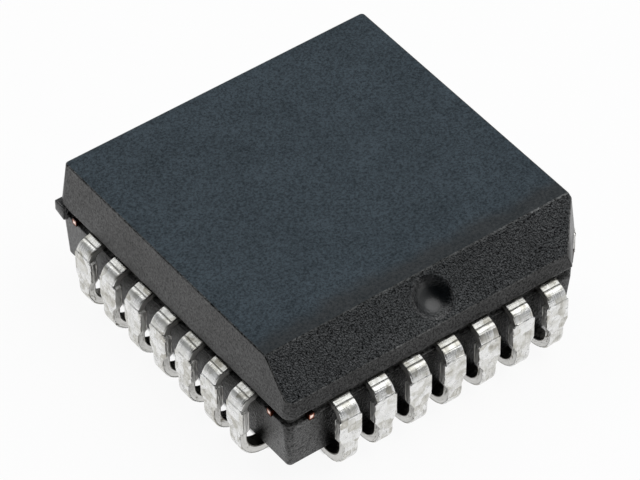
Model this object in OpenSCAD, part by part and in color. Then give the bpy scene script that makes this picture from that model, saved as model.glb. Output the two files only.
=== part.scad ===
// Converter chip in a square J-lead carrier: a moulded body on a stamped leadframe,
// with the die, its paddle and the bond wires inside.
// The origin is at the bottom centre, on the plane that the feet stand on. Pin 1 is
// the middle lead of the +Y side, and the pins run anticlockwise seen from above.

/* [Body] */
// Width of the upper half at its widest, just above the leads
body_w = 11.49; // [11.43:0.01:11.58]
// Height of the top face above the feet
overall_h = 4.37; // [4.2:0.01:4.57]
// Height of the underside above the feet
standoff = 0.72; // [0.6:0.01:0.85]
// Draft of the walls above the leads, in degrees
upper_draft = 7; // [3:0.5:9]
// Draft of the walls below the leads, in degrees
lower_draft = 4; // [2:0.5:7]
// Corner radius at the top face, which grows with the draft
top_corner_r = 0.12; // [0.08:0.01:0.3]
// Corner radius at the underside, which grows with the draft
foot_corner_r = 0.15; // [0.08:0.01:0.3]
// How far the lower half stands in from the upper half, at the leads
lower_inset = 0.055; // [0.03:0.005:0.07]
// Leg of the chamfer at the corner between pins 4 and 5
corner_chamfer = 1.1; // [1.07:0.01:1.22]
// How far the pin 1 bevel reaches in over the top face
bevel_run = 1.23; // [1.07:0.01:1.3]
// How far the pin 1 bevel drops down the side
bevel_drop = 1.03; // [0.9:0.01:1.15]
// Depth of the parting groove that the leads come out of
groove_depth = 0.2; // [0.15:0.01:0.24]
// Open height of the parting groove above the leads
groove_gap = 0.08; // [0.05:0.01:0.12]

/* [Moulding marks] */
// Radius of the round pin 1 dimple where it opens on the bevel
dimple_r = 0.61; // [0.4:0.01:0.7]
// Depth of the pin 1 dimple
dimple_depth = 0.22; // [0.1:0.01:0.3]
// Length of the broken-off gate along each wall at the corner between pins 18 and 19
gate_l = 0.45; // [0.3:0.05:0.6]
// How far the gate stub stands past the sharp corner of the upper half
gate_proud = 0.06; // [0.02:0.01:0.12]
// How far the gate stub runs down the lower half
gate_drop = 0.24; // [0.1:0.01:0.4]
// Radius of the ejector mark in the underside
ejector_r = 1.5; // [1:0.1:2]
// Depth of the ejector mark
ejector_depth = 0.05; // [0.03:0.01:0.1]

/* [Leads] */
// Distance between neighbouring leads
pitch = 1.27; // [1.25:0.01:1.29]
// Span over the outer faces of two opposite rows of leads
lead_span = 12.45; // [12.4:0.01:12.57]
// Thickness of the leadframe
lead_t = 0.25; // [0.2:0.01:0.28]
// Height of the leadframe's underside above the feet
shoulder_z = 2.42; // [2.29:0.01:2.6]
// Outer radius of the upper bend
shoulder_r = 0.5; // [0.42:0.01:0.52]
// Outer radius of the J at the foot
foot_r = 0.9; // [0.8:0.01:0.95]
// Turn of the J, in degrees
foot_turn = 165; // [150:1:172]
// Width of the shoulder
shoulder_w = 0.66; // [0.6:0.01:0.72]
// Width where the dam bar was cut off
dam_w = 0.8; // [0.74:0.01:0.84]
// Height of the top of the dam bar width
dam_top = 2.14; // [2.05:0.01:2.17]
// Height of the bottom of the dam bar width
dam_bottom = 1.39; // [1.3:0.01:1.5]
// Height at which the taper under the dam bar ends
taper_end = 1.1; // [1:0.01:1.2]
// Width of the foot
foot_w = 0.47; // [0.4:0.01:0.53]

/* [Fingers] */
// Distance from the centre to the finger tips
tip_u = 3; // [2.9:0.05:3.3]
// Distance between neighbouring finger tips
tip_pitch = 0.72; // [0.68:0.01:0.8]
// Width of a finger at its tip
tip_w = 0.34; // [0.25:0.01:0.38]
// Width of a finger where it starts to slant
bend_w = 0.5; // [0.45:0.01:0.6]
// Width of the neck that locks the lead in the moulding
neck_w = 0.4; // [0.3:0.01:0.45]
// Length of the neck
neck_l = 0.2; // [0.15:0.01:0.25]
// Length of full width buried outside the neck
root_l = 0.4; // [0.3:0.01:0.5]

/* [Paddle] */
// Width of the square die paddle
paddle_w = 5.1; // [4.8:0.05:5.2]
// How far the paddle is set down below the leadframe
downset = 0.2; // [0.1:0.01:0.24]
// Width of the bars that hold the paddle's corners
tie_w = 0.35; // [0.25:0.01:0.45]
// Width of the two prongs at the end of a tie bar
prong_w = 0.18; // [0.15:0.01:0.25]
// Distance of a prong from the centre line of its side
prong_x = 4.87; // [4.7:0.01:4.9]
// Distance from the centre at which the tie bar starts to rise
ramp_in = 4.2; // [4:0.05:4.4]
// Plan length of the rise
ramp_l = 0.4; // [0.3:0.05:0.6]

/* [Die] */
// Width of the die along X
die_w = 3.4; // [3:0.05:3.8]
// Width of the die along Y
die_d = 3; // [2.8:0.05:3.6]
// Thickness of the die
die_t = 0.38; // [0.28:0.01:0.42]
// Thickness of the adhesive under the die
attach_t = 0.03; // [0.02:0.005:0.05]
// How far the adhesive runs out past the die
attach_rim = 0.12; // [0.05:0.01:0.2]

/* [Bond wires] */
// Radius of a bond wire
wire_r = 0.0165; // [0.015:0.0005:0.02]
// Radius of the ball on the die
ball_r = 0.045; // [0.035:0.001:0.055]
// Height of the ball
ball_h = 0.03; // [0.02:0.005:0.04]
// Radius of the bend above the ball
loop_r = 0.09; // [0.08:0.005:0.12]
// Height of the loop's centre line above the die
loop_h = 0.22; // [0.2:0.01:0.3]
// Distance between neighbouring bond pads
pad_pitch = 0.38; // [0.3:0.01:0.4]
// Distance of the pads from the edge of the die
pad_inset = 0.14; // [0.1:0.01:0.2]
// Distance from a finger's tip to the end of its wire
stitch_in = 0.35; // [0.25:0.01:0.5]

/* [Clearances] */
// Room round the tip of a lead in its pocket
pocket_gap = 0.12; // [0.08:0.01:0.14]
// Depth of the pockets in the underside
pocket_depth = 0.35; // [0.25:0.01:0.45]

/* [Hidden] */
$fn = 48;
per_side = 7;
sides = 4;
lead_count = sides * per_side;
pin_1_place = (per_side - 1) / 2;
// Overshoot of a cutting tool past the face that it cuts
over = 0.5;

// Heights of the leadframe, the groove and the two halves
frame_top = shoulder_z + lead_t;
upper_z = frame_top + groove_gap;
upper_h = overall_h - upper_z;
lower_h = shoulder_z - standoff;
upper_half_w = body_w / 2;
top_half_w = upper_half_w - upper_h * tan(upper_draft);
lower_half_w = upper_half_w - lower_inset;
base_half_w = lower_half_w - lower_h * tan(lower_draft);
groove_half_w = upper_half_w - groove_depth;

// The pin 1 bevel: its lower edge, its slope and its middle
bevel_z = overall_h - bevel_drop;
bevel_y = upper_half_w - (bevel_z - upper_z) * tan(upper_draft);
bevel_slope = atan2(bevel_drop, bevel_run);
bevel_mid = [0, bevel_y - bevel_run / 2, bevel_z + bevel_drop / 2];
dimple_ball_r = (dimple_r * dimple_r + dimple_depth * dimple_depth) / (2 * dimple_depth);

// Distances from the centre along a lead, its shoulder end and the centre of its J
lead_out = lead_span / 2;
bend_u = lead_out - shoulder_r;
foot_u = lead_out - foot_r;
root_in = groove_half_w - root_l;
neck_in = root_in - neck_l;
slant_u = neck_in - neck_l;
foot_tip_u = foot_u - foot_r * cos(180 - foot_turn);
inner_tip_u = foot_u - (foot_r - lead_t) * cos(180 - foot_turn);

// Stack on the paddle
paddle_top = frame_top - downset;
attach_top = paddle_top + attach_t;
die_top = attach_top + die_t;

// Places on a side: pins are counted from +X to -X on the +Y side, then turned
function pin_name(kind, n) = str(kind, "_", n < 10 ? "0" : "", n);
function place(n) = (n - 1 + pin_1_place) % lead_count;
function side_of(n) = floor(place(n) / per_side);
function slot_of(n) = pin_1_place - place(n) % per_side;
function die_edge(side) = (side % 2 == 0 ? die_d : die_w) / 2;
function finger_x(slot, u) =
    slot * (tip_pitch + (pitch - tip_pitch) * (u - tip_u) / (slant_u - tip_u));

module on_side(n) {
    rotate([0, 0, 90 * side_of(n)]) children();
}

// A profile drawn in radius and height, run across its own middle
module across(width) {
    rotate([90, 0, 0]) linear_extrude(width, center = true) children();
}

// A square block with drafted walls and rounded corners, wide at one end
module drafted_block(wide_z, wide, narrow_z, narrow, narrow_r) {
    inner = narrow - narrow_r;
    for (turn = [0, 90]) rotate([0, 0, turn])
        across(2 * inner) polygon([[-wide, wide_z], [wide, wide_z], [narrow, narrow_z], [-narrow, narrow_z]]);
    low_z = min(wide_z, narrow_z);
    low_r = wide_z < narrow_z ? wide - inner : narrow_r;
    high_r = wide_z < narrow_z ? narrow_r : wide - inner;
    for (x = [-inner, inner], y = [-inner, inner])
        translate([x, y, low_z]) cylinder(abs(wide_z - narrow_z), low_r, high_r);
}

// Cuts the chamfered corner of a block, parallel to its own drafted edge
module corner_cut(low_z, low, high_z, high) {
    low_d = (2 * low - corner_chamfer) / sqrt(2);
    high_d = (2 * high - corner_chamfer) / sqrt(2);
    lean = (high_d - low_d) / (high_z - low_z);
    far = body_w;
    rotate([0, 0, 135]) across(body_w)
        polygon([
            [low_d - lean * over, low_z - over], [far, low_z - over],
            [far, high_z + over], [high_d + lean * over, high_z + over]
        ]);
}

module upper_half() {
    difference() {
        drafted_block(upper_z, upper_half_w, overall_h, top_half_w, top_corner_r);
        corner_cut(upper_z, upper_half_w, overall_h, top_half_w);
        pin_1_bevel();
        pin_1_dimple();
    }
}

module lower_half() {
    difference() {
        drafted_block(shoulder_z, lower_half_w, standoff, base_half_w, foot_corner_r);
        corner_cut(standoff, base_half_w, shoulder_z, lower_half_w);
        for (n = [1:lead_count]) on_side(n) tip_pocket(slot_of(n));
        translate([0, 0, standoff - over]) cylinder(over + ejector_depth, ejector_r, ejector_r);
    }
}

// The thin layer between the halves, as thick as the leadframe and its gap
module parting_layer() {
    difference() {
        drafted_block(shoulder_z, groove_half_w, upper_z, groove_half_w, top_corner_r);
        corner_cut(shoulder_z, groove_half_w, upper_z, groove_half_w);
    }
}

module pin_1_bevel() {
    run = bevel_run / bevel_drop;
    rotate([0, 0, 90]) across(2 * body_w)
        polygon([
            [bevel_y + over * run, bevel_z - over], [bevel_y + body_w, bevel_z - over],
            [bevel_y + body_w, overall_h + over], [bevel_y - bevel_run - over * run, overall_h + over]
        ]);
}

module pin_1_dimple() {
    translate(bevel_mid) rotate([-bevel_slope, 0, 0])
        translate([0, 0, dimple_ball_r - dimple_depth]) sphere(dimple_ball_r);
}

// What is left of the plastic that ran in at the corner opposite the chamfer
module gate_stub() {
    tip = upper_half_w + gate_proud;
    low_z = shoulder_z - gate_drop;
    low_r = base_half_w * sqrt(2) - gate_drop;
    intersection() {
        translate([tip - gate_l, -tip, low_z]) cube([gate_l, gate_l, upper_z - low_z]);
        rotate([0, 0, -45]) across(body_w)
            polygon([[0, low_z], [low_r, low_z], [tip * sqrt(2), shoulder_z], [tip * sqrt(2), upper_z], [0, upper_z]]);
    }
}

// The pocket in the underside that the tip of a lead turns up into
module tip_pocket(slot) {
    pocket_in = min(foot_tip_u, inner_tip_u) - pocket_gap;
    pocket_out = max(foot_tip_u, inner_tip_u) + 2 * pocket_gap;
    width = foot_w + 2 * pocket_gap;
    translate([slot * pitch - width / 2, pocket_in, standoff - over])
        cube([width, pocket_out - pocket_in, over + pocket_depth]);
}

module moulded_body() {
    color("#3a3c40") difference() {
        union() {
            upper_half();
            parting_layer();
            lower_half();
            gate_stub();
        }
        paddle_shape();
        die_shape();
        attach_shape();
        for (n = [1:lead_count]) on_side(n) {
            finger(slot_of(n));
            wire_shape(n);
        }
    }
}

// The flat stamped part of a lead, from its tip under a wire to its upper bend
module finger(slot) {
    x = slot * pitch;
    tip_x = slot * tip_pitch;
    right = [
        [tip_x + tip_w / 2, tip_u], [x + bend_w / 2, slant_u], [x + neck_w / 2, neck_in],
        [x + neck_w / 2, root_in], [x + shoulder_w / 2, root_in], [x + shoulder_w / 2, bend_u]
    ];
    left = [
        [x - shoulder_w / 2, bend_u], [x - shoulder_w / 2, root_in], [x - neck_w / 2, root_in],
        [x - neck_w / 2, neck_in], [x - bend_w / 2, slant_u], [tip_x - tip_w / 2, tip_u]
    ];
    translate([0, 0, shoulder_z]) linear_extrude(lead_t) polygon(concat(right, left));
}

// A bend in the lead about an axis along the row, turned up from pointing outwards
module bend(radius, start, turn) {
    rotate([90, 0, 90]) rotate([0, 0, start]) rotate_extrude(angle = turn)
        translate([radius - lead_t, -dam_w / 2]) square([lead_t, dam_w]);
}

// The lead's outline seen from outside, shoulder, dam bar width, taper and foot
module front_outline() {
    step = (dam_w - shoulder_w) / 2;
    half = [
        [shoulder_w / 2, frame_top + over], [shoulder_w / 2, dam_top + step], [dam_w / 2, dam_top],
        [dam_w / 2, dam_bottom], [foot_w / 2, taper_end], [foot_w / 2, -over]
    ];
    other = [for (i = [len(half) - 1:-1:0]) [-half[i][0], half[i][1]]];
    rotate([90, 0, 0]) linear_extrude(2 * lead_span, center = true) polygon(concat(half, other));
}

module formed_lead(slot) {
    finger(slot);
    translate([slot * pitch, 0, 0]) intersection() {
        union() {
            translate([0, bend_u, frame_top - shoulder_r]) bend(shoulder_r, 0, 90);
            translate([-dam_w / 2, lead_out - lead_t, foot_r])
                cube([dam_w, lead_t, frame_top - shoulder_r - foot_r]);
            translate([0, foot_u, foot_r]) bend(foot_r, -foot_turn, foot_turn);
        }
        front_outline();
    }
}

module lead(n) {
    color("#c9c8c4") on_side(n) formed_lead(slot_of(n));
}

// A tie bar in radius and height: down on the paddle, up in the leadframe
module tie_bar(reach) {
    paddle_z = paddle_top - lead_t;
    start = paddle_w / 2;
    rise = ramp_in + ramp_l;
    across(tie_w)
        polygon([
            [start, paddle_z], [ramp_in, paddle_z], [rise, shoulder_z], [reach, shoulder_z],
            [reach, frame_top], [rise, frame_top], [ramp_in, paddle_top], [start, paddle_top]
        ]);
}

// The two prongs that a tie bar splits into, each cut off at its wall
module prongs() {
    inner = prong_x - prong_w / 2;
    for (flip = [0, 1]) mirror([flip, -flip, 0])
        translate([inner, inner, shoulder_z]) cube([prong_w, upper_half_w - inner, lead_t]);
}

module paddle_shape() {
    translate([-paddle_w / 2, -paddle_w / 2, paddle_top - lead_t]) cube([paddle_w, paddle_w, lead_t]);
    for (quarter = [0, 2, 3]) rotate([0, 0, 90 * quarter]) {
        rotate([0, 0, 45]) tie_bar(prong_x * sqrt(2));
        prongs();
    }
    rotate([0, 0, 135]) tie_bar((2 * upper_half_w - corner_chamfer) / sqrt(2));
}

module die_paddle() {
    color("#b87348") paddle_shape();
}

module attach_shape() {
    width = die_w + 2 * attach_rim;
    depth = die_d + 2 * attach_rim;
    translate([-width / 2, -depth / 2, paddle_top]) cube([width, depth, attach_t]);
}

module die_attach() {
    color("#b9bbbd") attach_shape();
}

module die_shape() {
    translate([-die_w / 2, -die_d / 2, attach_top]) cube([die_w, die_d, die_t]);
}

module die() {
    color("#6f7788") die_shape();
}

// A wire in its own upright plane: ball, neck, bend and a straight run to the finger.
// The run leaves the bend on the tangent that meets the finger at the stitch. Its angle
// is rounded to a thousandth of a degree, so that the bend and the run end on one face.
module wire_loop(length) {
    centre = [loop_r, die_top + loop_h - loop_r];
    gap = [length - centre[0], centre[1] - frame_top];
    fall = round((atan2(gap[1], gap[0]) + asin(loop_r / norm(gap))) * 1000) / 1000;
    run = sqrt(gap * gap - loop_r * loop_r);
    translate([0, 0, die_top]) cylinder(ball_h, ball_r, ball_r);
    translate([0, 0, die_top + ball_h]) cylinder(centre[1] - die_top - ball_h, wire_r, wire_r);
    translate([centre[0], 0, centre[1]]) rotate([90, 0, 0]) {
        rotate([0, 0, 90 - fall]) rotate_extrude(angle = 90 + fall) translate([loop_r, 0]) circle(wire_r);
        rotate([0, 0, -fall]) translate([0, loop_r, 0]) rotate([0, 90, 0])
            cylinder(run + wire_r / sin(fall), wire_r, wire_r);
    }
}

module wire_shape(n) {
    slot = slot_of(n);
    start = [slot * pad_pitch, die_edge(side_of(n)) - pad_inset];
    stitch_u = tip_u + stitch_in;
    reach = [finger_x(slot, stitch_u), stitch_u] - start;
    intersection() {
        translate([start[0], start[1], 0]) rotate([0, 0, atan2(reach[1], reach[0])]) wire_loop(norm(reach));
        translate([-body_w / 2, 0, frame_top]) cube([body_w, body_w, overall_h]);
    }
}

module wire(n) {
    color("#d9b65c") on_side(n) wire_shape(n);
}

moulded_body();
die_paddle();
die_attach();
die();
for (n = [1:lead_count]) {
    lead(n);
    wire(n);
}
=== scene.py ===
import math

import bmesh
import bpy
from mathutils import Matrix, Vector, noise


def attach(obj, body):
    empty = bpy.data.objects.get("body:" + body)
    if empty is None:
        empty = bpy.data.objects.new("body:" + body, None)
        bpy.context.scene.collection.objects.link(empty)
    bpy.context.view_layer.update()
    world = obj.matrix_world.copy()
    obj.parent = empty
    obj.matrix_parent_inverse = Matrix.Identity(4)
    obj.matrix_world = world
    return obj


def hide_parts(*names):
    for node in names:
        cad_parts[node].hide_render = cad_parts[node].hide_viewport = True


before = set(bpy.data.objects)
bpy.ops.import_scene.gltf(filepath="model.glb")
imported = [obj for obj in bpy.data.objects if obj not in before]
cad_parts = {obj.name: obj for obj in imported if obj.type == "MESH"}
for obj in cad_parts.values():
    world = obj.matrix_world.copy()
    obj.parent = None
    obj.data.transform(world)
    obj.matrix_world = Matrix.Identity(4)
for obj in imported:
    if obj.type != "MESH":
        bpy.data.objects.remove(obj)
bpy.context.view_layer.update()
mm = 0.001  # the object is drawn in millimetres and lives in metres
print("frame loaded:", len(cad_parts), "CAD nodes")


def linear(hexColour):
    # sRGB hex to the linear colour that Blender's sockets take
    parts = [int(hexColour[i:i + 2], 16) / 255 for i in (1, 3, 5)]
    return tuple(c / 12.92 if c <= 0.04045 else ((c + 0.055) / 1.055) ** 2.4 for c in parts) + (1.0,)


def addNode(tree, kind, values=None, links=None, stops=None, **settings):
    # one node, its settings, its unlinked values, what is plugged into it and its colour stops
    node = tree.nodes.new(kind)
    for name, value in settings.items():
        setattr(node, name, value)
    for name, value in (values or {}).items():
        node.inputs[name].default_value = value
    for name, source in (links or {}).items():
        tree.links.new(source, node.inputs[name])
    if stops:
        ramp = node.color_ramp
        while len(ramp.elements) < len(stops):
            ramp.elements.new(1.0)
        for element, (position, hexColour) in zip(ramp.elements, stops):
            element.position = position
            element.color = linear(hexColour)
    return node


def newMaterial(name):
    material = bpy.data.materials.new(name)
    material.use_nodes = True
    material.node_tree.nodes.clear()
    return material, material.node_tree


def toObject(bm, name, materials, sharpAbove=180):
    # the bmesh, drawn in millimetres, becomes a piece at the origin
    bmesh.ops.scale(bm, vec=(mm, mm, mm), verts=bm.verts)
    mesh = bpy.data.meshes.new(name)
    for face in bm.faces:
        face.smooth = True
    bm.to_mesh(mesh)
    bm.free()
    mesh.set_sharp_from_angle(angle=math.radians(sharpAbove))
    for material in materials:
        mesh.materials.append(material)
    piece = bpy.data.objects.new(name, mesh)
    bpy.context.scene.collection.objects.link(piece)
    return piece


# the camera, at the angle the photograph was taken from
cameraSetup = {
    "aim": (0.0357, -0.3017, 2.0),  # mm
    "azimuth": 53.307,
    "elevation": 44.410,
    "roll": -0.324,
    "distance": 134.356,  # mm
    "lens": 253.61,
    "sensor": 36.0,
}
turn = Matrix.Rotation(math.radians(cameraSetup["azimuth"] + 90), 4, "Z")
tilt = Matrix.Rotation(math.radians(90 - cameraSetup["elevation"]), 4, "X")
roll = Matrix.Rotation(math.radians(cameraSetup["roll"]), 4, "Z")
look = turn @ tilt @ roll
cameraData = bpy.data.cameras.new("photoCamera")
cameraData.lens = cameraSetup["lens"]
cameraData.sensor_width = cameraSetup["sensor"]
cameraData.clip_start = 0.005
cameraData.clip_end = 20
photoCamera = bpy.data.objects.new("photoCamera", cameraData)
bpy.context.scene.collection.objects.link(photoCamera)
place = Vector(cameraSetup["aim"]) + look.to_3x3() @ Vector((0, 0, cameraSetup["distance"]))
photoCamera.matrix_world = Matrix.Translation(place * mm) @ look
bpy.context.scene.camera = photoCamera
bpy.context.scene.view_settings.view_transform = "Standard"
print("camera set")

# a soft room that is dark on the camera's side, and two round softboxes overhead
lightSetup = {
    "darkToward": (0.70, 0.60, 0.40),
    "roomDark": 0.02,
    "roomLight": 0.72,
    # cosines of the angles to that side at which the dark ends and the full light begins
    "darkEnds": 0.88,
    "lightBegins": -0.15,
    "boxDistance": 0.4,
    # direction, width in metres and brightness of each softbox
    "boxes": [((-0.46, 0.16, 0.87), 0.42, 1.9), ((0.08, -0.64, 0.77), 0.24, 1.6)],
}
world = bpy.data.worlds.new("softRoom")
bpy.context.scene.world = world
world.use_nodes = True
tree = world.node_tree
tree.nodes.clear()
direction = addNode(tree, "ShaderNodeTexCoord")
facing = addNode(tree, "ShaderNodeVectorMath", operation="DOT_PRODUCT",
                 links={0: direction.outputs["Generated"]},
                 values={1: Vector(lightSetup["darkToward"]).normalized()})
level = addNode(tree, "ShaderNodeMapRange", interpolation_type="SMOOTHSTEP",
                links={"Value": facing.outputs["Value"]},
                values={"From Min": lightSetup["darkEnds"], "From Max": lightSetup["lightBegins"],
                        "To Min": lightSetup["roomDark"], "To Max": lightSetup["roomLight"]})
room = addNode(tree, "ShaderNodeBackground", values={"Color": linear("#fbfdff")},
               links={"Strength": level.outputs["Result"]})
addNode(tree, "ShaderNodeOutputWorld", links={"Surface": room.outputs[0]})

for number, (toward, size, radiance) in enumerate(lightSetup["boxes"], 1):
    name = f"softbox{number}"
    lamp = bpy.data.lights.new(name, "AREA")
    lamp.shape = "DISK"
    lamp.size = size
    lamp.energy = radiance * math.pi * math.pi * size ** 2 / 4  # radiance times pi times the disk's area
    softbox = bpy.data.objects.new(name, lamp)
    bpy.context.scene.collection.objects.link(softbox)
    toward = Vector(toward).normalized()
    softbox.location = toward * lightSetup["boxDistance"]
    softbox.rotation_mode = "QUATERNION"
    softbox.rotation_quaternion = toward.to_track_quat("Z", "Y")

# the floor: a round white table whose rim turns up, so every view ends in white
floorForm = {
    "radius": 800,  # mm
    "rimHeight": 30,
    "rimSteps": 8,
    "segments": 96,
    "white": 0.93,
    # where the full shade under the feet ends: which of x and y counts, how far the square is
    # shifted, where it is still dark and where it is white again
    "shades": [("MAXIMUM", 0.0, 5.12, 5.26), ("MINIMUM", 0.16, 4.06, 4.28)],
}
material, tree = newMaterial("whitePaperSweep")
# white paper: even and matt, and it keeps a faint shadow of the object
paths = addNode(tree, "ShaderNodeLightPath")
seen = addNode(tree, "ShaderNodeMath", operation="MAXIMUM",
               links={0: paths.outputs["Is Camera Ray"], 1: paths.outputs["Is Glossy Ray"]})
seen = addNode(tree, "ShaderNodeMath", operation="MAXIMUM",
               links={0: seen.outputs[0], 1: paths.outputs["Is Transmission Ray"]})
# under the rows of feet the paper keeps its full shadow
coords = addNode(tree, "ShaderNodeTexCoord")
outside = []
for operation, shift, dark, light in floorForm["shades"]:
    spot = addNode(tree, "ShaderNodeVectorMath", operation="ADD",
                   links={0: coords.outputs["Object"]}, values={1: (shift * mm, shift * mm, 0)})
    spot = addNode(tree, "ShaderNodeVectorMath", operation="ABSOLUTE", links={0: spot.outputs[0]})
    spot = addNode(tree, "ShaderNodeSeparateXYZ", links={0: spot.outputs[0]})
    reach = addNode(tree, "ShaderNodeMath", operation=operation,
                    links={0: spot.outputs["X"], 1: spot.outputs["Y"]})
    outside.append(addNode(tree, "ShaderNodeMapRange", interpolation_type="SMOOTHSTEP",
                           links={"Value": reach.outputs[0]},
                           values={"From Min": dark * mm, "From Max": light * mm,
                                   "To Min": 0.0, "To Max": floorForm["white"]}))
white = addNode(tree, "ShaderNodeMath", operation="MAXIMUM",
                links={0: outside[0].outputs["Result"], 1: outside[1].outputs["Result"]})
share = addNode(tree, "ShaderNodeMath", operation="MULTIPLY",
                links={0: seen.outputs[0], 1: white.outputs[0]})
paper = addNode(tree, "ShaderNodeBsdfDiffuse", values={"Color": linear("#f2f2f2")})
glow = addNode(tree, "ShaderNodeEmission", values={"Color": (1, 1, 1, 1), "Strength": 1.0})
mixed = addNode(tree, "ShaderNodeMixShader",
                links={"Fac": share.outputs[0], 1: paper.outputs[0], 2: glow.outputs[0]})
addNode(tree, "ShaderNodeOutputMaterial", links={"Surface": mixed.outputs[0]})
bm = bmesh.new()
bmesh.ops.create_circle(bm, cap_ends=True, segments=floorForm["segments"], radius=floorForm["radius"])
rim = list(bm.edges)
for step in range(1, floorForm["rimSteps"] + 1):
    angle = 0.5 * math.pi * step / floorForm["rimSteps"]
    ring = bmesh.ops.extrude_edge_only(bm, edges=rim)["geom"]
    rim = [e for e in ring if isinstance(e, bmesh.types.BMEdge)]
    reach = floorForm["radius"] + floorForm["rimHeight"] * math.sin(angle)
    for v in [v for v in ring if isinstance(v, bmesh.types.BMVert)]:
        flat = v.co.xy.normalized() * reach
        v.co = (flat.x, flat.y, floorForm["rimHeight"] * (1 - math.cos(angle)))
floor = toObject(bm, "floor", [material])
print("light and floor set")


# mould compound: black epoxy filled with silica, moulded; its look is the tool's finish
def mouldFinish(name, look):
    material, tree = newMaterial(name)
    coords = addNode(tree, "ShaderNodeTexCoord")
    # the pits that the spark-eroded tool leaves, two sizes of them
    coarse = addNode(tree, "ShaderNodeTexNoise", links={"Vector": coords.outputs["Object"]},
                     values={"Scale": 1 / (look["grain"] * mm), "Detail": 2.0, "Roughness": 0.6})
    cells = addNode(tree, "ShaderNodeTexVoronoi", links={"Vector": coords.outputs["Object"]},
                    values={"Scale": 1 / (1.2 * look["grain"] * mm)})
    pits = addNode(tree, "ShaderNodeMath", operation="MULTIPLY_ADD",
                   links={0: cells.outputs["Distance"], 2: coarse.outputs["Fac"]}, values={1: 0.6})
    if "middle" in look:
        # smooth in the middle of the dimple, as coarse as the bevel at its rim
        offset = addNode(tree, "ShaderNodeVectorMath", operation="SUBTRACT",
                         links={0: coords.outputs["Object"]}, values={1: Vector(look["middle"]) * mm})
        apart = addNode(tree, "ShaderNodeVectorMath", operation="LENGTH", links={0: offset.outputs[0]})
        share = addNode(tree, "ShaderNodeMapRange", links={"Value": apart.outputs["Value"]},
                        values={"From Min": look["smoothTo"] * mm, "From Max": look["coarseFrom"] * mm,
                                "To Min": look["smoothShare"], "To Max": 1.0})
        pits = addNode(tree, "ShaderNodeMath", operation="MULTIPLY",
                       links={0: pits.outputs[0], 1: share.outputs["Result"]})
    bump = addNode(tree, "ShaderNodeBump", links={"Height": pits.outputs[0]},
                   values={"Strength": 1.0, "Distance": look["depth"] * mm})
    # a pit's floor is dull and its rim shines; the real grain is finer than the picture can
    # show, so this one is drawn about twice as coarse
    speck = addNode(tree, "ShaderNodeTexNoise", links={"Vector": coords.outputs["Object"]},
                    values={"Scale": 1 / (look["speckSize"] * mm), "Detail": 3.0,
                            "Roughness": 0.75})
    shine = addNode(tree, "ShaderNodeMapRange", links={"Value": speck.outputs["Fac"]},
                    values={"From Min": 0.35, "From Max": 0.65,
                            "To Min": 1 - look["speckle"], "To Max": 1 + look["speckle"]})
    if "middle" in look:
        shine = addNode(tree, "ShaderNodeMix", values={"A": 1.0},
                        links={"Factor": share.outputs["Result"], "B": shine.outputs["Result"]})
    # filler and flow marks: slow patches in tone, about 1.3 mm across
    cloud = addNode(tree, "ShaderNodeTexNoise", links={"Vector": coords.outputs["Object"]},
                    values={"Scale": 1 / (1.3 * mm), "Detail": 4.0, "Roughness": 0.6})
    tone = addNode(tree, "ShaderNodeMapRange", links={"Value": cloud.outputs["Fac"]},
                   values={"From Min": 0.3, "From Max": 0.7,
                           "To Min": 1 - look["mottle"], "To Max": 1 + look["mottle"]})
    both = addNode(tree, "ShaderNodeMath", operation="MULTIPLY",
                   links={0: shine.outputs[0], 1: tone.outputs["Result"]})
    colour = addNode(tree, "ShaderNodeVectorMath", operation="SCALE",
                     values={0: linear(look["base"])[:3]},
                     links={"Scale": both.outputs[0]}).outputs["Vector"]
    gloss = addNode(tree, "ShaderNodeMath", operation="MULTIPLY", links={0: both.outputs[0]},
                    values={1: look["gloss"]})
    if "nearBevel" in look:
        # the blue bloom thins out over the last half millimetre before the bevel
        spot = addNode(tree, "ShaderNodeSeparateXYZ", links={0: coords.outputs["Object"]})
        drift = addNode(tree, "ShaderNodeMath", operation="MULTIPLY_ADD",
                        links={0: cloud.outputs["Fac"], 2: spot.outputs["Y"]}, values={1: 0.9 * mm})
        thin = addNode(tree, "ShaderNodeMapRange", interpolation_type="SMOOTHSTEP",
                       links={"Value": drift.outputs[0]},
                       values={"From Min": look["bloomTo"] * mm, "From Max": look["blackFrom"] * mm})
        colour = addNode(tree, "ShaderNodeMix", data_type="RGBA",
                         links={"Factor": thin.outputs["Result"], "A": colour},
                         values={"B": linear(look["nearBevel"])}).outputs["Result"]
    if "paintedShadeToward" in look:
        # painted shade: the gloss of the dimple's wall toward the chamfered corner is turned down, so
        # that it reads as a dark crescent
        leaning = addNode(tree, "ShaderNodeVectorMath", operation="DOT_PRODUCT",
                          links={0: offset.outputs[0]}, values={1: Vector(look["paintedShadeToward"])})
        dull = addNode(tree, "ShaderNodeMapRange", interpolation_type="SMOOTHSTEP",
                       links={"Value": leaning.outputs["Value"]},
                       values={"From Min": look["unshadedTo"] * mm, "From Max": look["shadedFrom"] * mm,
                               "To Min": 1.0, "To Max": look["shadeGlossShare"]})
        gloss = addNode(tree, "ShaderNodeMath", operation="MULTIPLY",
                        links={0: gloss.outputs[0], 1: dull.outputs["Result"]})
    if "dullAndShadedBetweenLeads" in look:
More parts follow.
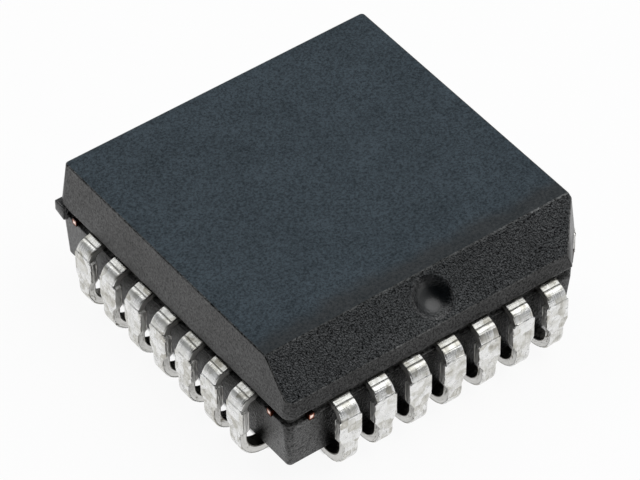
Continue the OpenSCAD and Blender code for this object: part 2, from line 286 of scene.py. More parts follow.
        # the gloss drops where the leads stand and comes back toward the corners: partly a rough and
        # dull finish where the dam bar was cut, partly painted shade that the leads cast on the wall
        spot = addNode(tree, "ShaderNodeVectorMath", operation="ABSOLUTE",
                       links={0: coords.outputs["Object"]})
        spot = addNode(tree, "ShaderNodeSeparateXYZ", links={0: spot.outputs[0]})
        along = addNode(tree, "ShaderNodeMath", operation="MINIMUM",
                        links={0: spot.outputs["X"], 1: spot.outputs["Y"]})
        cleanAndUnshaded = addNode(tree, "ShaderNodeMapRange", interpolation_type="SMOOTHSTEP",
                        links={"Value": along.outputs[0]},
                        values={"From Min": look["leadsTo"] * mm, "From Max": look["cleanAndUnshadedFrom"] * mm,
                                "To Min": look["dullAndShadedBetweenLeads"], "To Max": 1.0})
        gloss = addNode(tree, "ShaderNodeMath", operation="MULTIPLY",
                        links={0: gloss.outputs[0], 1: cleanAndUnshaded.outputs["Result"]})
    shader = addNode(tree, "ShaderNodeBsdfPrincipled",
                     values={"IOR": 1.55, "Roughness": look["roughness"]},
                     links={"Base Color": colour, "Specular IOR Level": gloss.outputs[0],
                            "Normal": bump.outputs["Normal"]})
    addNode(tree, "ShaderNodeOutputMaterial", links={"Surface": shader.outputs[0]})
    return material


# lengths are in mm; gloss is the specular level, speckle and mottle are shares of the tone
mouldLooks = {
    # the top: blue-black, even and fine, a dull sheen
    "epoxyCompoundFineEroded": {"base": "#202f38", "gloss": 0.25, "roughness": 0.45, "grain": 0.07,
                                "depth": 0.002, "speckSize": 0.07, "speckle": 0.5, "mottle": 0.12,
                                "nearBevel": "#171e22", "bloomTo": 3.95, "blackFrom": 4.6},
    # the bevel: black and coarse, sparkling in its pits
    "epoxyCompoundCoarseEroded": {"base": "#15191b", "gloss": 0.305, "roughness": 0.32, "grain": 0.045,
                                  "depth": 0.018, "speckSize": 0.055, "speckle": 1.0, "mottle": 0.12},
    # the drafted walls: neutral grey where they mirror the table
    "epoxyCompoundMattWall": {"base": "#0e0e0e", "gloss": 0.48, "roughness": 0.34, "grain": 0.07,
                              "depth": 0.005, "speckSize": 0.065, "speckle": 0.7, "mottle": 0.14},
    # the dimple: polished by its pin, black with one soft light in it, and painted shade on its wall
    # toward the chamfered corner
    "epoxyCompoundPolishedPin": {"base": "#090c0e", "gloss": 0.45, "roughness": 0.26, "grain": 0.045,
                                 "depth": 0.018, "speckSize": 0.055, "speckle": 1.0, "mottle": 0.05,
                                 "middle": (0, 5.0576, 3.855), "smoothTo": 0.36, "coarseFrom": 0.6,
                                 "smoothShare": 0.08, "paintedShadeToward": (-0.93, -0.284, 0.238),
                                 "unshadedTo": 0.08, "shadedFrom": 0.26, "shadeGlossShare": 0.38},
    # the edge between top and bevel: rubbed, a light speckled line
    "epoxyCompoundWornEdge": {"base": "#363838", "gloss": 0.2, "roughness": 0.4, "grain": 0.07,
                              "depth": 0.01, "speckSize": 0.08, "speckle": 1.0, "mottle": 0.5},
    # the groove and the sharp corners, in painted light and shade: the corners are made dull so that
    # they read dark, and the base is lighter than the walls' so that the shade inside the groove is
    # lifted
    "epoxyCompoundInTheGroove": {"base": "#3c3c3b", "gloss": 0.4, "roughness": 0.5, "grain": 0.07,
                                 "depth": 0.012, "speckSize": 0.09, "speckle": 0.9, "mottle": 0.5},
    # the wall below the bevel: as coarse as the bevel, and duller than the other walls
    "epoxyCompoundCoarseWall": {"base": "#0a0a0a", "gloss": 0.35, "roughness": 0.42, "grain": 0.05,
                                "depth": 0.008, "speckSize": 0.06, "speckle": 0.8, "mottle": 0.15},
    # the lower walls: as the drafted walls at the corners, dull and dark behind the leads, partly from
    # their finish and partly painted shade
    "epoxyCompoundLowerWall": {"base": "#0c0c0c", "gloss": 0.5, "roughness": 0.3, "grain": 0.06,
                               "depth": 0.012, "speckSize": 0.065, "speckle": 0.9, "mottle": 0.14,
                               "dullAndShadedBetweenLeads": 0.3, "leadsTo": 4.15, "cleanAndUnshadedFrom": 4.7},
}
mould = {name: mouldFinish(name, look) for name, look in mouldLooks.items()}
print("mould compound finishes made")

# the moulded body: a stack of outlines, then the bevel, the dimple and the marks
bodyForm = {
    "cornerSteps": 7,
    # height, half width, corner radius and the chamfer's two legs of each outline, going up
    "outlines": [(0.72, 5.5711, 0.15, 1.04, 1.1), (2.46, 5.69, 0.269, 1.0, 1.1),
                 (2.46, 5.545, 0.12, 1.0, 1.1), (2.75, 5.545, 0.12, 1.04, 1.18),
                 (2.75, 5.745, 0.319, 1.04, 1.18), (4.37, 5.5461, 0.12, 1.24, 0.98)],
    "bevelFoot": (5.6726, 3.34),  # y and z of the bevel's lower edge
    "bevelRun": 1.23,
    "bevelDrop": 1.03,
    # how wide each kind of edge is rounded off, and in how many steps
    "softEdge": (0.036, 3),
    "lipEdge": (0.11, 4),
    "rimEdge": (0.05, 2),
    "dimple": {"radius": 0.61, "depth": 0.22, "lip": 0.07, "rings": 14, "segments": 72},
    "pocket": {"pitch": 1.27, "from": 4.336, "to": 4.937, "width": 0.71, "depth": 0.35},
    "ejector": {"radius": 1.5, "depth": 0.05, "segments": 64},
    "gate": {"tip": 5.805, "length": 0.45, "lowZ": 2.18, "lowReach": 7.639, "shoulderZ": 2.42,
             "topZ": 2.79, "softEdge": 0.045},
}


def bodyOutline(half, radius, legX, legY):
    # square with one chamfered corner at -X +Y and three round ones, anticlockwise
    steps = bodyForm["cornerSteps"]
    points = [(-half + legX, half), (-half, half - legY)]
    for cornerX, cornerY, start in ((-1, -1, 180), (1, -1, 270), (1, 1, 0)):
        for step in range(steps):
            angle = math.radians(start + 90 * step / (steps - 1))
            points.append((cornerX * (half - radius) + radius * math.cos(angle),
                           cornerY * (half - radius) + radius * math.sin(angle)))
    return points


underside, lowLip, highLip, top = (bodyForm["outlines"][k][0] for k in (0, 1, 3, 5))
bm = bmesh.new()
cornerCount = len(bodyOutline(*bodyForm["outlines"][0][1:]))
bmesh.ops.create_circle(bm, cap_ends=True, segments=cornerCount, radius=1)
face = bm.faces[:][0]
for index, (height, *outline) in enumerate(bodyForm["outlines"]):
    if index:
        face = bmesh.ops.extrude_discrete_faces(bm, faces=[face])["faces"][0]
    for loop, (x, y) in zip(face.loops, bodyOutline(*outline)):
        loop.vert.co = (x, y, height)
bmesh.ops.recalc_face_normals(bm, faces=bm.faces)

# the pin 1 bevel is cut by a plane; then its face and the underside are closed
slope = math.atan2(bodyForm["bevelDrop"], bodyForm["bevelRun"])
bevelNormal = Vector((0, math.sin(slope), math.cos(slope)))
bevelPoint = Vector((0, bodyForm["bevelFoot"][0], bodyForm["bevelFoot"][1]))
bmesh.ops.bisect_plane(bm, geom=bm.verts[:] + bm.edges[:] + bm.faces[:], dist=1e-5,
                       plane_co=bevelPoint, plane_no=bevelNormal, clear_outer=True)
bmesh.ops.holes_fill(bm, edges=[e for e in bm.edges if len(e.link_faces) == 1], sides=0)
bmesh.ops.recalc_face_normals(bm, faces=bm.faces)


def soften(test, size):
    # rounds off the edges that the test picks
    edges = [e for e in bm.edges if len(e.link_faces) == 2 and test(e)]
    offset, steps = size
    bmesh.ops.bevel(bm, geom=edges, offset=offset, offset_type="OFFSET", segments=steps,
                    profile=0.5, affect="EDGES", material=-1, clamp_overlap=True)


def isHigh(e):
    # the edges of the top face, of the bevel face and the walls' edges beside the bevel
    sharp = e.calc_face_angle(0) > math.radians(25)
    return sharp and min(v.co.z for v in e.verts) > bodyForm["bevelFoot"][1] - 0.04


def isRim(e):
    # only the edges that stand proud: the underside and the two lips of the groove
    sharp = e.calc_face_angle(0) > math.radians(50)
    levels = {round(v.co.z, 3) for v in e.verts}
    outside = min(max(abs(v.co.x), abs(v.co.y)) for v in e.verts) > 4.5
    flat = len(levels) == 1 and levels <= {underside, lowLip, highLip}
    return sharp and outside and flat and e.is_convex


soften(isHigh, bodyForm["softEdge"])
soften(lambda e: isRim(e) and e.verts[0].co.z > lowLip + 0.2, bodyForm["lipEdge"])
soften(isRim, bodyForm["rimEdge"])


def fillAround(isWall, normal):
    # the flat face that isWall finds goes, and comes back round the open rims that lie in it
    walls = [f for f in bm.faces if isWall(f)]
    bmesh.ops.delete(bm, geom=walls, context="FACES_ONLY")
    rims = [e for e in bm.edges if len(e.link_faces) == 1]
    bmesh.ops.triangle_fill(bm, edges=rims, use_beauty=True, use_dissolve=False, normal=normal)


# the pin 1 dimple: a bowl spun about the bevel's own axis, with a soft lip
dimple = bodyForm["dimple"]
ballRadius = (dimple["radius"] ** 2 + dimple["depth"] ** 2) / (2 * dimple["depth"])
bowlRim = math.asin((dimple["radius"] - dimple["lip"]) / ballRadius)
profile = []
for ring in range(dimple["rings"] + 1):
    angle = bowlRim * ring / dimple["rings"]
    profile.append((ballRadius * math.sin(angle),
                    ballRadius - dimple["depth"] - ballRadius * math.cos(angle)))
# the lip rounds off in three steps
lipHeight = profile[-1][1]
profile += [(dimple["radius"] - 0.35 * dimple["lip"], 0.5 * lipHeight),
            (dimple["radius"] + 0.2 * dimple["lip"], 0.14 * lipHeight),
            (dimple["radius"] + dimple["lip"], 0.0)]
bevelMiddle = bevelPoint + Vector((0, -bodyForm["bevelRun"] / 2, bodyForm["bevelDrop"] / 2))
upright = bevelNormal.to_track_quat("Z", "Y").to_matrix()
chain = [bm.verts.new(bevelMiddle + upright @ Vector((r, 0, h))) for r, h in profile]
strands = [bm.edges.new(pair) for pair in zip(chain, chain[1:])]
before = set(bm.faces)
bmesh.ops.spin(bm, geom=chain + strands, cent=bevelMiddle, axis=bevelNormal, angle=2 * math.pi,
               steps=dimple["segments"], use_merge=True)
bowlFaces = [f for f in bm.faces if f not in before]
bmesh.ops.remove_doubles(bm, verts=list({v for f in bowlFaces for v in f.verts}), dist=1e-4)
bowlFaces = {f for f in bm.faces if f not in before}
fillAround(lambda f: f.normal.angle(bevelNormal) < 0.01 and f.calc_area() > 3, bevelNormal)

# the underside: a pocket over each foot's tip, and the ejector's round mark
pocket = bodyForm["pocket"]


def sink(points, depth):
    # a shape pressed into the underside, its mouth left open
    made = bmesh.ops.create_circle(bm, cap_ends=True, segments=len(points), radius=1)["verts"]
    mouth = made[0].link_faces[0]
    for loop, (x, y) in zip(mouth.loops, points):
        loop.vert.co = (x, y, underside)
    roof = bmesh.ops.extrude_discrete_faces(bm, faces=[mouth])["faces"][0]
    for v in roof.verts:
        v.co.z += depth


for side in range(4):
    spin = Matrix.Rotation(math.radians(90 * side), 2)
    for slot in range(-3, 4):
        left = slot * pocket["pitch"] - pocket["width"] / 2
        right = left + pocket["width"]
        corners = [(left, pocket["from"]), (right, pocket["from"]), (right, pocket["to"]),
                   (left, pocket["to"])]
        sink([spin @ Vector(c) for c in corners], pocket["depth"])
ejector = bodyForm["ejector"]
ring = [2 * math.pi * k / ejector["segments"] for k in range(ejector["segments"])]
sink([(ejector["radius"] * math.cos(a), ejector["radius"] * math.sin(a)) for a in ring],
     ejector["depth"])
fillAround(lambda f: f.normal.z < -0.999 and f.calc_area() > 50, Vector((0, 0, -1)))
bmesh.ops.recalc_face_normals(bm, faces=bm.faces)


def finishOf(f):
    # the mould's finish on this face, told by where the face is and where it looks
    centre = f.calc_center_median()
    reach = max(abs(centre.x), abs(centre.y))
    if f in bowlFaces:
        return "epoxyCompoundPolishedPin"
    if f.normal.z > 0.999 and centre.z > top - 0.07:
        return "epoxyCompoundFineEroded"
    if f.normal.angle(bevelNormal) < 0.01:
        return "epoxyCompoundCoarseEroded"
    # the edge between top and bevel, then the bevel's other edges
    if centre.z > top - 0.17 and centre.y > 4.2 and f.calc_area() < 0.8 and f.normal.y > 0.1:
        return "epoxyCompoundWornEdge"
    beside = centre.z > bodyForm["bevelFoot"][1] - 0.09 and 0.1 < f.normal.y < 0.97
    if beside and f.calc_area() < 0.5:
        return "epoxyCompoundInTheGroove"
    # the groove, and the underside of its upper lip
    if lowLip - 0.01 <= centre.z <= highLip and reach < 5.68:
        return "epoxyCompoundInTheGroove"
    if highLip - 0.05 < centre.z < highLip + 0.15 and f.normal.z < -0.25:
        return "epoxyCompoundInTheGroove"
    # the wall below the bevel, then the top's edge over +X, then the lower walls
    if centre.z > highLip - 0.05 and f.normal.y > 0.95:
        return "epoxyCompoundCoarseWall"
    if centre.z > top - 0.07 and f.normal.x > 0.1 and f.normal.z > 0.1:
        return "epoxyCompoundWornEdge"
    if centre.z < lowLip and abs(f.normal.z) < 0.5 and reach > 5.3:
        return "epoxyCompoundLowerWall"
    return "epoxyCompoundMattWall"


mouldOrder = list(mould)
for f in bm.faces:
    f.material_index = mouldOrder.index(finishOf(f))
body = toObject(bm, "body_moulded", list(mould.values()), 42)

# the broken-off gate: a square corner with a sloped underside, joined to the body
gate = bodyForm["gate"]
bm = bmesh.new()
bmesh.ops.create_cube(bm, size=1)
size = (gate["length"], gate["length"], gate["topZ"] - gate["lowZ"])
bmesh.ops.scale(bm, vec=size, verts=bm.verts)
bmesh.ops.translate(bm, vec=(gate["tip"] - gate["length"] / 2, -gate["tip"] + gate["length"] / 2,
                             (gate["topZ"] + gate["lowZ"]) / 2), verts=bm.verts)
rise = gate["shoulderZ"] - gate["lowZ"]
run = gate["tip"] * math.sqrt(2) - gate["lowReach"]
across = Vector((1, -1, 0)).normalized()
cut = bmesh.ops.bisect_plane(bm, geom=bm.verts[:] + bm.edges[:] + bm.faces[:],
                             plane_co=across * gate["lowReach"] + Vector((0, 0, gate["lowZ"])),
                             plane_no=across * rise - Vector((0, 0, run)), clear_outer=True)
cutEdges = [e for e in cut["geom_cut"] if isinstance(e, bmesh.types.BMEdge)]
bmesh.ops.contextual_create(bm, geom=cutEdges)
bmesh.ops.recalc_face_normals(bm, faces=bm.faces)
bmesh.ops.bevel(bm, geom=bm.edges[:], offset=gate["softEdge"], offset_type="OFFSET", segments=2,
                profile=0.5, affect="EDGES", material=-1, clamp_overlap=True)
stub = toObject(bm, "gateStub", [mould["epoxyCompoundMattWall"]])
join = body.modifiers.new("gate", "BOOLEAN")
join.operation = "UNION"
join.solver = "EXACT"
join.object = stub
joined = bpy.data.meshes.new_from_object(body.evaluated_get(bpy.context.evaluated_depsgraph_get()))
body.modifiers.clear()
body.data = joined
bpy.data.objects.remove(stub)
weighted = body.modifiers.new("weighted", "WEIGHTED_NORMAL")
weighted.keep_sharp = True
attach(body, "root")
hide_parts("moulded_body")
print("body made")


# tin plate: matt tin over a copper alloy, stamped and bent; a soft bright sheen that dents and
# die marks break up; lengths are in mm
tinLook = {
    "grain": 0.05,
    "patches": 0.3,
    "dents": 0.27,
    "smallDents": 0.12,
    "depth": 0.055,
    # lines in a millimetre: along the strip, across it and into it
    "wipedLines": (22.0, 1.3, 1.0),
    "drawnLines": (1.6, 24.0, 1.0),
    # what each mark adds to the relief
    "smallShare": 0.4,
    "wipedShare": 0.14,
    "grainShare": 0.05,
    "drawnShare": 0.16,
    # how far along the strip the smooth bend ends and the dented face begins
    "bendTo": 3.4,
    "faceFrom": 3.46,
    "bendShare": 0.06,
    # masks over the depth into the strip: the cut sides, and the side toward the body
    "cutSide": [(0.14, "#000000"), (0.2, "#ffffff"), (0.8, "#ffffff"), (0.92, "#b0b0b0")],
    "innerSide": [(0.83, "#000000"), (0.91, "#ffffff")],
    "tones": [(0.28, "#b0ada4"), (0.42, "#d2d1cc"), (0.6, "#e9e9e8")],
    "dentTones": 0.35,
    # painted shade and highlight along the bend, and a mask for the narrow part, at centimetres along
    # the strip
    "bendShadeAndHighlight": [(0.289, "#c2c2c0"), (0.291, "#a8a7a3"), (0.293, "#a8a7a3"), (0.296, "#dadad8"),
                  (0.309, "#dadad8"), (0.314, "#ffffff")],
    "narrow": [(0.43, "#000000"), (0.455, "#ffffff"), (0.52, "#ffffff"), (0.56, "#000000")],
    "cutTone": "#d0cfcc",
    "innerShadeTone": "#6b6964",
    "nickTone": "#57503f",
    # roughness: of dark and light patches, and what the cut sides add
    "dull": 0.38,
    "bright": 0.2,
    "cutRougher": 0.12,
}


def tinFinish(name, look):
    material, tree = newMaterial(name)
    # the strip's own measures in mm: way travelled, place across it and depth into it, 0 to 1
    strip = addNode(tree, "ShaderNodeAttribute", attribute_name="alongLead").outputs["Vector"]
    parts = addNode(tree, "ShaderNodeSeparateXYZ", links={0: strip})
    travelled, depth = parts.outputs["X"], parts.outputs["Z"]
    grain = addNode(tree, "ShaderNodeTexNoise", links={"Vector": strip},
                    values={"Scale": 1 / look["grain"], "Detail": 3.0, "Roughness": 0.65})
    patches = addNode(tree, "ShaderNodeTexNoise", links={"Vector": strip},
                      values={"Scale": 1 / look["patches"], "Detail": 5.0, "Roughness": 0.6})
    # flat dents with crisp borders, from the forming tool and the handling
    dents = addNode(tree, "ShaderNodeTexVoronoi", distance="CHEBYCHEV", links={"Vector": strip},
                    values={"Scale": 1 / look["dents"]})
    small = addNode(tree, "ShaderNodeTexVoronoi", distance="CHEBYCHEV", links={"Vector": strip},
                    values={"Scale": 1 / look["smallDents"]})
    relief = addNode(tree, "ShaderNodeMath", operation="MULTIPLY_ADD",
                     links={0: small.outputs["Distance"], 2: dents.outputs["Distance"]},
                     values={1: look["smallShare"]})
    # the bend is wiped smooth: no dents there, only fine lines that run across the strip
    below = addNode(tree, "ShaderNodeMapRange", links={"Value": travelled},
                    values={"From Min": look["bendTo"], "From Max": look["faceFrom"],
                            "To Min": look["bendShare"], "To Max": 1.0})
    relief = addNode(tree, "ShaderNodeMath", operation="MULTIPLY",
                     links={0: relief.outputs[0], 1: below.outputs["Result"]})
    wiped = addNode(tree, "ShaderNodeVectorMath", operation="MULTIPLY", links={0: strip},
                    values={1: look["wipedLines"]})
    ridges = addNode(tree, "ShaderNodeTexNoise", links={"Vector": wiped.outputs[0]},
                     values={"Scale": 1.0, "Detail": 2.0, "Roughness": 0.6})
    # drawn lines along the strip, left by the bending roll
    drawn = addNode(tree, "ShaderNodeVectorMath", operation="MULTIPLY", links={0: strip},
                    values={1: look["drawnLines"]})
    lines = addNode(tree, "ShaderNodeTexNoise", links={"Vector": drawn.outputs[0]},
                    values={"Scale": 1.0, "Detail": 2.0})
    for marks, share in ((ridges, "wipedShare"), (grain, "grainShare"), (lines, "drawnShare")):
        relief = addNode(tree, "ShaderNodeMath", operation="MULTIPLY_ADD", values={1: look[share]},
                         links={0: marks.outputs["Fac"], 2: relief.outputs[0]})
    # the cut sides are even
    side = addNode(tree, "ShaderNodeValToRGB", links={"Fac": depth}, stops=look["cutSide"])
    calm = addNode(tree, "ShaderNodeMapRange", links={"Value": side.outputs["Color"]},
                   values={"To Min": 1.0, "To Max": 0.3})
    relief = addNode(tree, "ShaderNodeMath", operation="MULTIPLY",
                     links={0: relief.outputs[0], 1: calm.outputs["Result"]})
    bump = addNode(tree, "ShaderNodeBump", links={"Height": relief.outputs[0]},
                   values={"Strength": 1.0, "Distance": look["depth"] * mm})
    # every dent has a tone of its own, so that its border shows
    dentTone = addNode(tree, "ShaderNodeSeparateXYZ", links={0: dents.outputs["Color"]})
    blend = addNode(tree, "ShaderNodeMix", values={"Factor": look["dentTones"]},
                    links={"A": patches.outputs["Fac"], "B": dentTone.outputs["X"]})
    tone = addNode(tree, "ShaderNodeValToRGB", links={"Fac": blend.outputs["Result"]},
                   stops=look["tones"])
    # the bend beside the body, in painted light: painted shade next to the body, a darker painted shade
    # line at the crease, then a lighter band as a painted highlight; a ramp ends at 1, so the way along
    # the strip goes in as centimetres
    inCm = addNode(tree, "ShaderNodeMath", operation="MULTIPLY", links={0: travelled}, values={1: 0.1})
    paintedBendLight = addNode(tree, "ShaderNodeValToRGB", links={"Fac": inCm.outputs[0]},
                       stops=look["bendShadeAndHighlight"])
    colour = addNode(tree, "ShaderNodeMix", data_type="RGBA", blend_type="MULTIPLY",
                     links={"A": tone.outputs["Color"], "B": paintedBendLight.outputs["Color"]},
                     values={"Factor": 1.0})
    # the cut sides are duller than the rolled faces; the side toward the body lies in its shade, which
    # is painted into its colour as a darker tone
    inner = addNode(tree, "ShaderNodeValToRGB", links={"Fac": depth}, stops=look["innerSide"])
    # dark nicks where the strip gets narrow, near the foot
    low = addNode(tree, "ShaderNodeValToRGB", links={"Fac": inCm.outputs[0]}, stops=look["narrow"])
    scratch = addNode(tree, "ShaderNodeTexNoise", links={"Vector": drawn.outputs[0]},
                      values={"Scale": 1.7, "Detail": 4.0, "Roughness": 0.7, "Distortion": 1.2})
    nick = addNode(tree, "ShaderNodeValToRGB", links={"Fac": scratch.outputs["Fac"]},
                   stops=[(0.36, "#ffffff"), (0.43, "#000000")])
    worn = addNode(tree, "ShaderNodeMath", operation="MULTIPLY",
                   links={0: nick.outputs["Color"], 1: low.outputs["Color"]})
    masks = [(side.outputs["Color"], "cutTone"), (inner.outputs["Color"], "innerShadeTone"),
             (worn.outputs[0], "nickTone")]
    for mask, over in masks:
        colour = addNode(tree, "ShaderNodeMix", data_type="RGBA", values={"B": linear(look[over])},
                         links={"Factor": mask, "A": colour.outputs["Result"]})
    rough = addNode(tree, "ShaderNodeMapRange", links={"Value": patches.outputs["Fac"]},
                    values={"From Min": 0.3, "From Max": 0.7,
                            "To Min": look["dull"], "To Max": look["bright"]})
    rougher = addNode(tree, "ShaderNodeMath", operation="MULTIPLY_ADD",
                      links={0: side.outputs["Color"], 2: rough.outputs["Result"]},
                      values={1: look["cutRougher"]})
    shader = addNode(tree, "ShaderNodeBsdfPrincipled", values={"Metallic": 1.0},
                     links={"Base Color": colour.outputs["Result"],
                            "Roughness": rougher.outputs[0], "Normal": bump.outputs["Normal"]})
    addNode(tree, "ShaderNodeOutputMaterial", links={"Surface": shader.outputs[0]})
    return material


tinPlate = tinFinish("mattTinPlateStamped", tinLook)
print("tin plate made")

# the J leads, lofted along the strip from the finger's tip to the foot
leadForm = {
    "count": 28,
    "perSide": 7,
    "pitch": 1.27,
    "thick": 0.25,
    "shownThick": 0.285,  # outside the body, where the plating shows
    "edgeRadius": 0.035,
    "top": 2.67,
    "outer": 6.225,
    # the finger inside the body
    "tip": 3.0,
    "tipPitch": 0.72,
    "tipWidth": 0.34,
    "slantEnd": 4.745,
    "slantWidth": 0.5,
    "neckIn": 4.945,
    "neckOut": 5.145,
    "neckStep": 0.004,
    "neckWidth": 0.4,
    # outside it, from the shoulder down
    "bendRadius": 0.5,
    "shoulderWidth": 0.66,
    "damTop": 2.14,
    "damStep": 0.035,
    "damBottom": 1.39,
    "damWidth": 0.8,
    "taperEnd": 1.1,
    "faceStep": 0.07,
    "footWidth": 0.48,
    "footRadius": 0.9,
    "footTurn": 165,
    "footSteps": 22,
    # outer line from the body outwards: length, first angle, last angle, steps; flat is 0
    "bend": [(0.2, 17, 20, 4), (0.03, 50, 50, 1), (0.03, 2, 2, 1), (0.095, 20, 27, 3),
             (0.11, 36, 42, 3), (0.27, 54, 68, 6)],
    # the lead at the far corner stands a little nearer to the body than the others
    "lean": {5: 0.09},
    "leanRun": 0.6,
    # dents of the forming tool: how deep on average, how uneven, how many in a millimetre
    "dentDepth": 0.006,
    "dentUneven": 0.008,
    "dentsAcross": 4.0,
    "dentsAlong": 3.0,
}


def outerLine():
    # points (u, z) along the bend, ending on the outer plane
    runU = runZ = 0.0
    points = [(0.0, 0.0)]
    for length, start, end, steps in leadForm["bend"]:
        for step in range(steps):
            angle = math.radians(start + (end - start) * (step + 0.5) / steps)
            runU += length / steps * math.cos(angle)
            runZ -= length / steps * math.sin(angle)
            points.append((runU, runZ))
    first = leadForm["outer"] - runU
    return [(first + u, leadForm["top"] + z) for u, z in points]


def widthAt(z):
    form = leadForm
    table = [(form["damTop"] + form["damStep"], form["shoulderWidth"]),
             (form["damTop"], form["damWidth"]), (form["damBottom"], form["damWidth"]),
             (form["taperEnd"], form["footWidth"])]
    if z >= table[0][0]:
        return table[0][1]
    for (highZ, highWidth), (lowZ, lowWidth) in zip(table, table[1:]):
        if z >= lowZ:
            return lowWidth + (highWidth - lowWidth) * (z - lowZ) / (highZ - lowZ)
    return form["footWidth"]


def leadStations():
    # each station: outer point, inner point, width, how far the centre has slanted, and
    # whether the finger is still inside the body
    form = leadForm
    stations = []

    def add(out, inner, width, slant=0.0, inside=False):
        stations.append({"out": out, "in": inner, "width": width, "slant": slant, "inside": inside})

    for u, width, slant in [(form["tip"], form["tipWidth"], 1.0),
                            (form["slantEnd"], form["slantWidth"], 0.0),
                            (form["neckIn"], form["neckWidth"], 0.0),
                            (form["neckOut"] - form["neckStep"], form["neckWidth"], 0.0),
                            (form["neckOut"] + form["neckStep"], form["shoulderWidth"], 0.0)]:
        add((u, form["top"]), (u, form["top"] - form["thick"]), width, slant, inside=True)
    thick = form["shownThick"]
    innerRadius = form["bendRadius"] - thick
    centreU, centreZ = form["outer"] - form["bendRadius"], form["top"] - form["bendRadius"]
    line = outerLine()
    for u, z in line:
        # the inner side is a plain bend: matched by the direction from the bend's centre
        angle = min(max(math.atan2(u - centreU, z - centreZ), 0.0), math.pi / 2)
        if u < centreU:
            inner = (u, form["top"] - thick)
        else:
            inner = (centreU + innerRadius * math.sin(angle), centreZ + innerRadius * math.cos(angle))
        add((u, z), inner, widthAt(z))
    # the face goes straight down, with a station at each change of width
    above = line[-1][1]
    for mark in (form["damTop"] + form["damStep"], form["damTop"], form["damBottom"],
                 form["taperEnd"], form["footRadius"]):
        if mark > above - 0.005:
            continue
        steps = max(1, round((above - mark) / form["faceStep"]))
        for k in range(steps):
            z = above + (mark - above) * (k + 1) / steps
            add((form["outer"], z), (form["outer"] - thick, min(z, centreZ)), widthAt(z))
        above = mark
    # the foot curls round under the body
    footU, radius = form["outer"] - form["footRadius"], form["footRadius"]
    for step in range(1, form["footSteps"] + 1):
        angle = math.radians(form["footTurn"]) * step / form["footSteps"]
        c, s = math.cos(angle), math.sin(angle)
        z = radius - radius * s
        add((footU + radius * c, z), (footU + (radius - thick) * c, radius - (radius - thick) * s),
            widthAt(z) if c > 0 else form["footWidth"])
    return stations


def sectionRing():
    # a stamped strip's section with round corners, once round it from the outer face: place
    # across it, -0.5 to 0.5, and depth into it, 0 to 1
    acrossRadius = leadForm["edgeRadius"] / leadForm["shoulderWidth"]
    depthRadius = leadForm["edgeRadius"] / leadForm["shownThick"]
    left, right, deep = -0.5 + acrossRadius, 0.5 - acrossRadius, 1 - depthRadius
    centres = [(left, depthRadius), (right, depthRadius), (right, deep), (left, deep)]
    ring = []
    for side, points in enumerate((9, 3, 5, 3)):
        (startX, startY), (endX, endY) = centres[side], centres[(side + 1) % 4]
        turned = 0.5 * math.pi * side
        for k in range(points):
            share = k / (points - 1)
            ring.append((startX + (endX - startX) * share + acrossRadius * math.sin(turned),
                         startY + (endY - startY) * share - depthRadius * math.cos(turned)))
        for k in range(1, 4):
            angle = turned + 0.5 * math.pi * k / 4
            ring.append((endX + acrossRadius * math.sin(angle), endY - depthRadius * math.cos(angle)))
    return ring


def buildLead(number):
    form = leadForm
    placeOnRow = (number - 1 + 3) % form["count"]
    side, slot = placeOnRow // form["perSide"], 3 - placeOnRow % form["perSide"]
    stations, ring = leadStations(), sectionRing()
    lean = form["lean"].get(number, 0)
    # no two leads have their dents and marks at quite the same place
    seed = Vector((number * 7.31, number * 3.17, number * 1.93))
    shift = 0.02 * math.sin(2.4 * number)
    bm = bmesh.new()
    along = bm.verts.layers.float_vector.new("alongLead")
    bmesh.ops.create_circle(bm, cap_ends=True, segments=len(ring), radius=1)
    face = bm.faces[:][0]
    travelled = 0.0
    for index, station in enumerate(stations):
        if index:
            face = bmesh.ops.extrude_discrete_faces(bm, faces=[face])["faces"][0]
            travelled += math.dist(stations[index - 1]["out"], station["out"])
        centreX = slot * (form["pitch"] + (form["tipPitch"] - form["pitch"]) * station["slant"])
        out, inner = Vector(station["out"]), Vector(station["in"])
        for loop, (across, depth) in zip(face.loops, ring):
            at = out.lerp(inner, depth)
            x = across * station["width"]
            if not station["inside"]:
                at.x -= lean * min(max((form["top"] - at.y) / form["leanRun"], 0), 1)
            if not station["inside"] and depth < 0.2:
                # pressed into the outer side
                spot = Vector((x * form["dentsAcross"], travelled * form["dentsAlong"], 0)) + seed
                press = form["dentDepth"] + form["dentUneven"] * noise.noise(spot)
                at += (inner - out).normalized() * press
            loop.vert.co = (centreX + x, at.x, at.y)
            loop.vert[along] = (travelled + shift, x + 5 * number, depth)
    # the first face has moved along, so the finger's tip is closed here
    bmesh.ops.holes_fill(bm, edges=[e for e in bm.edges if len(e.link_faces) == 1], sides=0)
    bmesh.ops.recalc_face_normals(bm, faces=bm.faces)
    bmesh.ops.rotate(bm, cent=(0, 0, 0), matrix=Matrix.Rotation(math.radians(90 * side), 3, "Z"),
                     verts=bm.verts)
    name = f"lead_{number:02d}"
    piece = toObject(bm, name + "_plated", [tinPlate], 26)
    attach(piece, "root")
    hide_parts(name)


for number in range(1, leadForm["count"] + 1):
    buildLead(number)
print("leads made:", leadForm["count"])


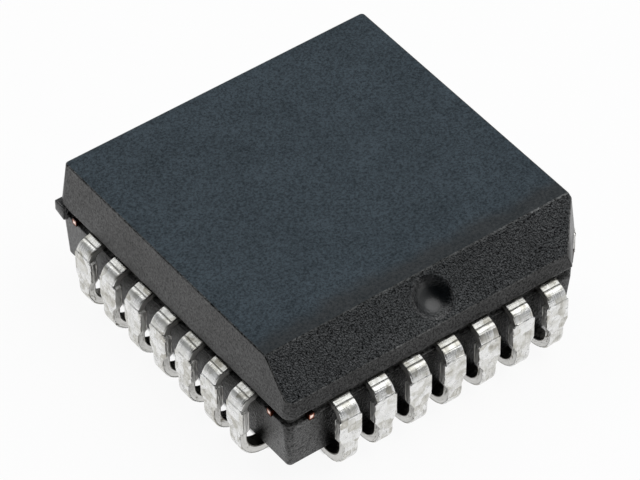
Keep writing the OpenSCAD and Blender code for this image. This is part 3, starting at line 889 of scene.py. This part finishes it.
# the CAD nodes that stay: copper paddle and tie bars, adhesive, chip and gold wires
def plainFinish(name, look):
    material, tree = newMaterial(name)
    coords = addNode(tree, "ShaderNodeTexCoord")
    spots = addNode(tree, "ShaderNodeTexNoise", links={"Vector": coords.outputs["Object"]},
                    values={"Scale": 1 / (look["grain"] * mm), "Detail": 3.0})
    tone = addNode(tree, "ShaderNodeValToRGB", links={"Fac": spots.outputs["Fac"]},
                   stops=[(0.3, look["dark"]), (0.7, look["light"])])
    bump = addNode(tree, "ShaderNodeBump", links={"Height": spots.outputs["Fac"]},
                   values={"Strength": 1.0, "Distance": look["depth"] * mm})
    shader = addNode(tree, "ShaderNodeBsdfPrincipled",
                     values={"Metallic": look["metallic"], "Roughness": look["roughness"]},
                     links={"Base Color": tone.outputs["Color"], "Normal": bump.outputs["Normal"]})
    addNode(tree, "ShaderNodeOutputMaterial", links={"Surface": shader.outputs[0]})
    return material


def dress(node, material):
    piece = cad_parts[node]
    piece.data.materials.clear()
    piece.data.materials.append(material)


# the tie bars' cut ends, in mm: the middle and the edge of each end on its wall and in height
tieBarEnd = {"middle": 4.87, "edge": 5.0, "middleZ": 2.545, "topZ": 2.67, "ragged": 0.06,
             "tones": [(0.55, "#ffeee4"), (0.78, "#9a4a22"), (1.0, "#2c1209")]}


def shearedFinish(name, look):
    # the cut ends of the tie bars: bright pink copper inside a burnt orange rim
    material, tree = newMaterial(name)
    coords = addNode(tree, "ShaderNodeTexCoord")
    inMm = addNode(tree, "ShaderNodeVectorMath", operation="SCALE", values={"Scale": 1 / mm},
                   links={0: coords.outputs["Object"]})
    spot = addNode(tree, "ShaderNodeSeparateXYZ", links={0: inMm.outputs[0]})
    alongX = addNode(tree, "ShaderNodeMath", operation="ABSOLUTE", links={0: spot.outputs["X"]})
    alongY = addNode(tree, "ShaderNodeMath", operation="ABSOLUTE", links={0: spot.outputs["Y"]})
    nearer = addNode(tree, "ShaderNodeMath", operation="MINIMUM",
                     links={0: alongX.outputs[0], 1: alongY.outputs[0]})
    # 0 in the middle of the cut end and 1 at its edge, sideways and upwards
    sideways = addNode(tree, "ShaderNodeMapRange", clamp=False, links={"Value": nearer.outputs[0]},
                       values={"From Min": look["middle"], "From Max": look["edge"]})
    sideways = addNode(tree, "ShaderNodeMath", operation="ABSOLUTE",
                       links={0: sideways.outputs["Result"]})
    upwards = addNode(tree, "ShaderNodeMapRange", clamp=False, links={"Value": spot.outputs["Z"]},
                      values={"From Min": look["middleZ"], "From Max": look["topZ"]})
    upwards = addNode(tree, "ShaderNodeMath", operation="ABSOLUTE",
                      links={0: upwards.outputs["Result"]})
    edge = addNode(tree, "ShaderNodeMath", operation="MAXIMUM",
                   links={0: sideways.outputs[0], 1: upwards.outputs[0]})
    torn = addNode(tree, "ShaderNodeTexNoise", links={"Vector": inMm.outputs[0]},
                   values={"Scale": 1 / look["ragged"], "Detail": 2.0})
    edge = addNode(tree, "ShaderNodeMath", operation="MULTIPLY_ADD",
                   links={0: torn.outputs["Fac"], 2: edge.outputs[0]}, values={1: 0.5})
    tone = addNode(tree, "ShaderNodeValToRGB", links={"Fac": edge.outputs[0]}, stops=look["tones"])
    shader = addNode(tree, "ShaderNodeBsdfPrincipled", values={"Metallic": 1.0, "Roughness": 0.4},
                     links={"Base Color": tone.outputs["Color"]})
    addNode(tree, "ShaderNodeOutputMaterial", links={"Surface": shader.outputs[0]})
    return material


# grain and depth are in mm
innerLooks = {
    # silver flakes in epoxy: grey, half metallic and dull
    "silverEpoxyCured": {"dark": "#8d8f90", "light": "#b9bbbd", "metallic": 0.4, "roughness": 0.6,
                         "grain": 0.05, "depth": 0.002},
    # polished silicon: slate grey with a clear sheen
    "siliconPolished": {"dark": "#3c4250", "light": "#596274", "metallic": 0.6, "roughness": 0.2,
                        "grain": 0.3, "depth": 0.002},
    # drawn gold wire: warm yellow and bright
    "goldWireDrawn": {"dark": "#d9a83f", "light": "#f3cf77", "metallic": 1.0, "roughness": 0.2,
                      "grain": 0.05, "depth": 0.002},
}
inner = {name: plainFinish(name, look) for name, look in innerLooks.items()}
dress("die_paddle", shearedFinish("copperAlloySheared", tieBarEnd))
dress("die_attach", inner["silverEpoxyCured"])
dress("die", inner["siliconPolished"])
for number in range(1, leadForm["count"] + 1):
    dress(f"wire_{number:02d}", inner["goldWireDrawn"])
print("inner parts dressed")
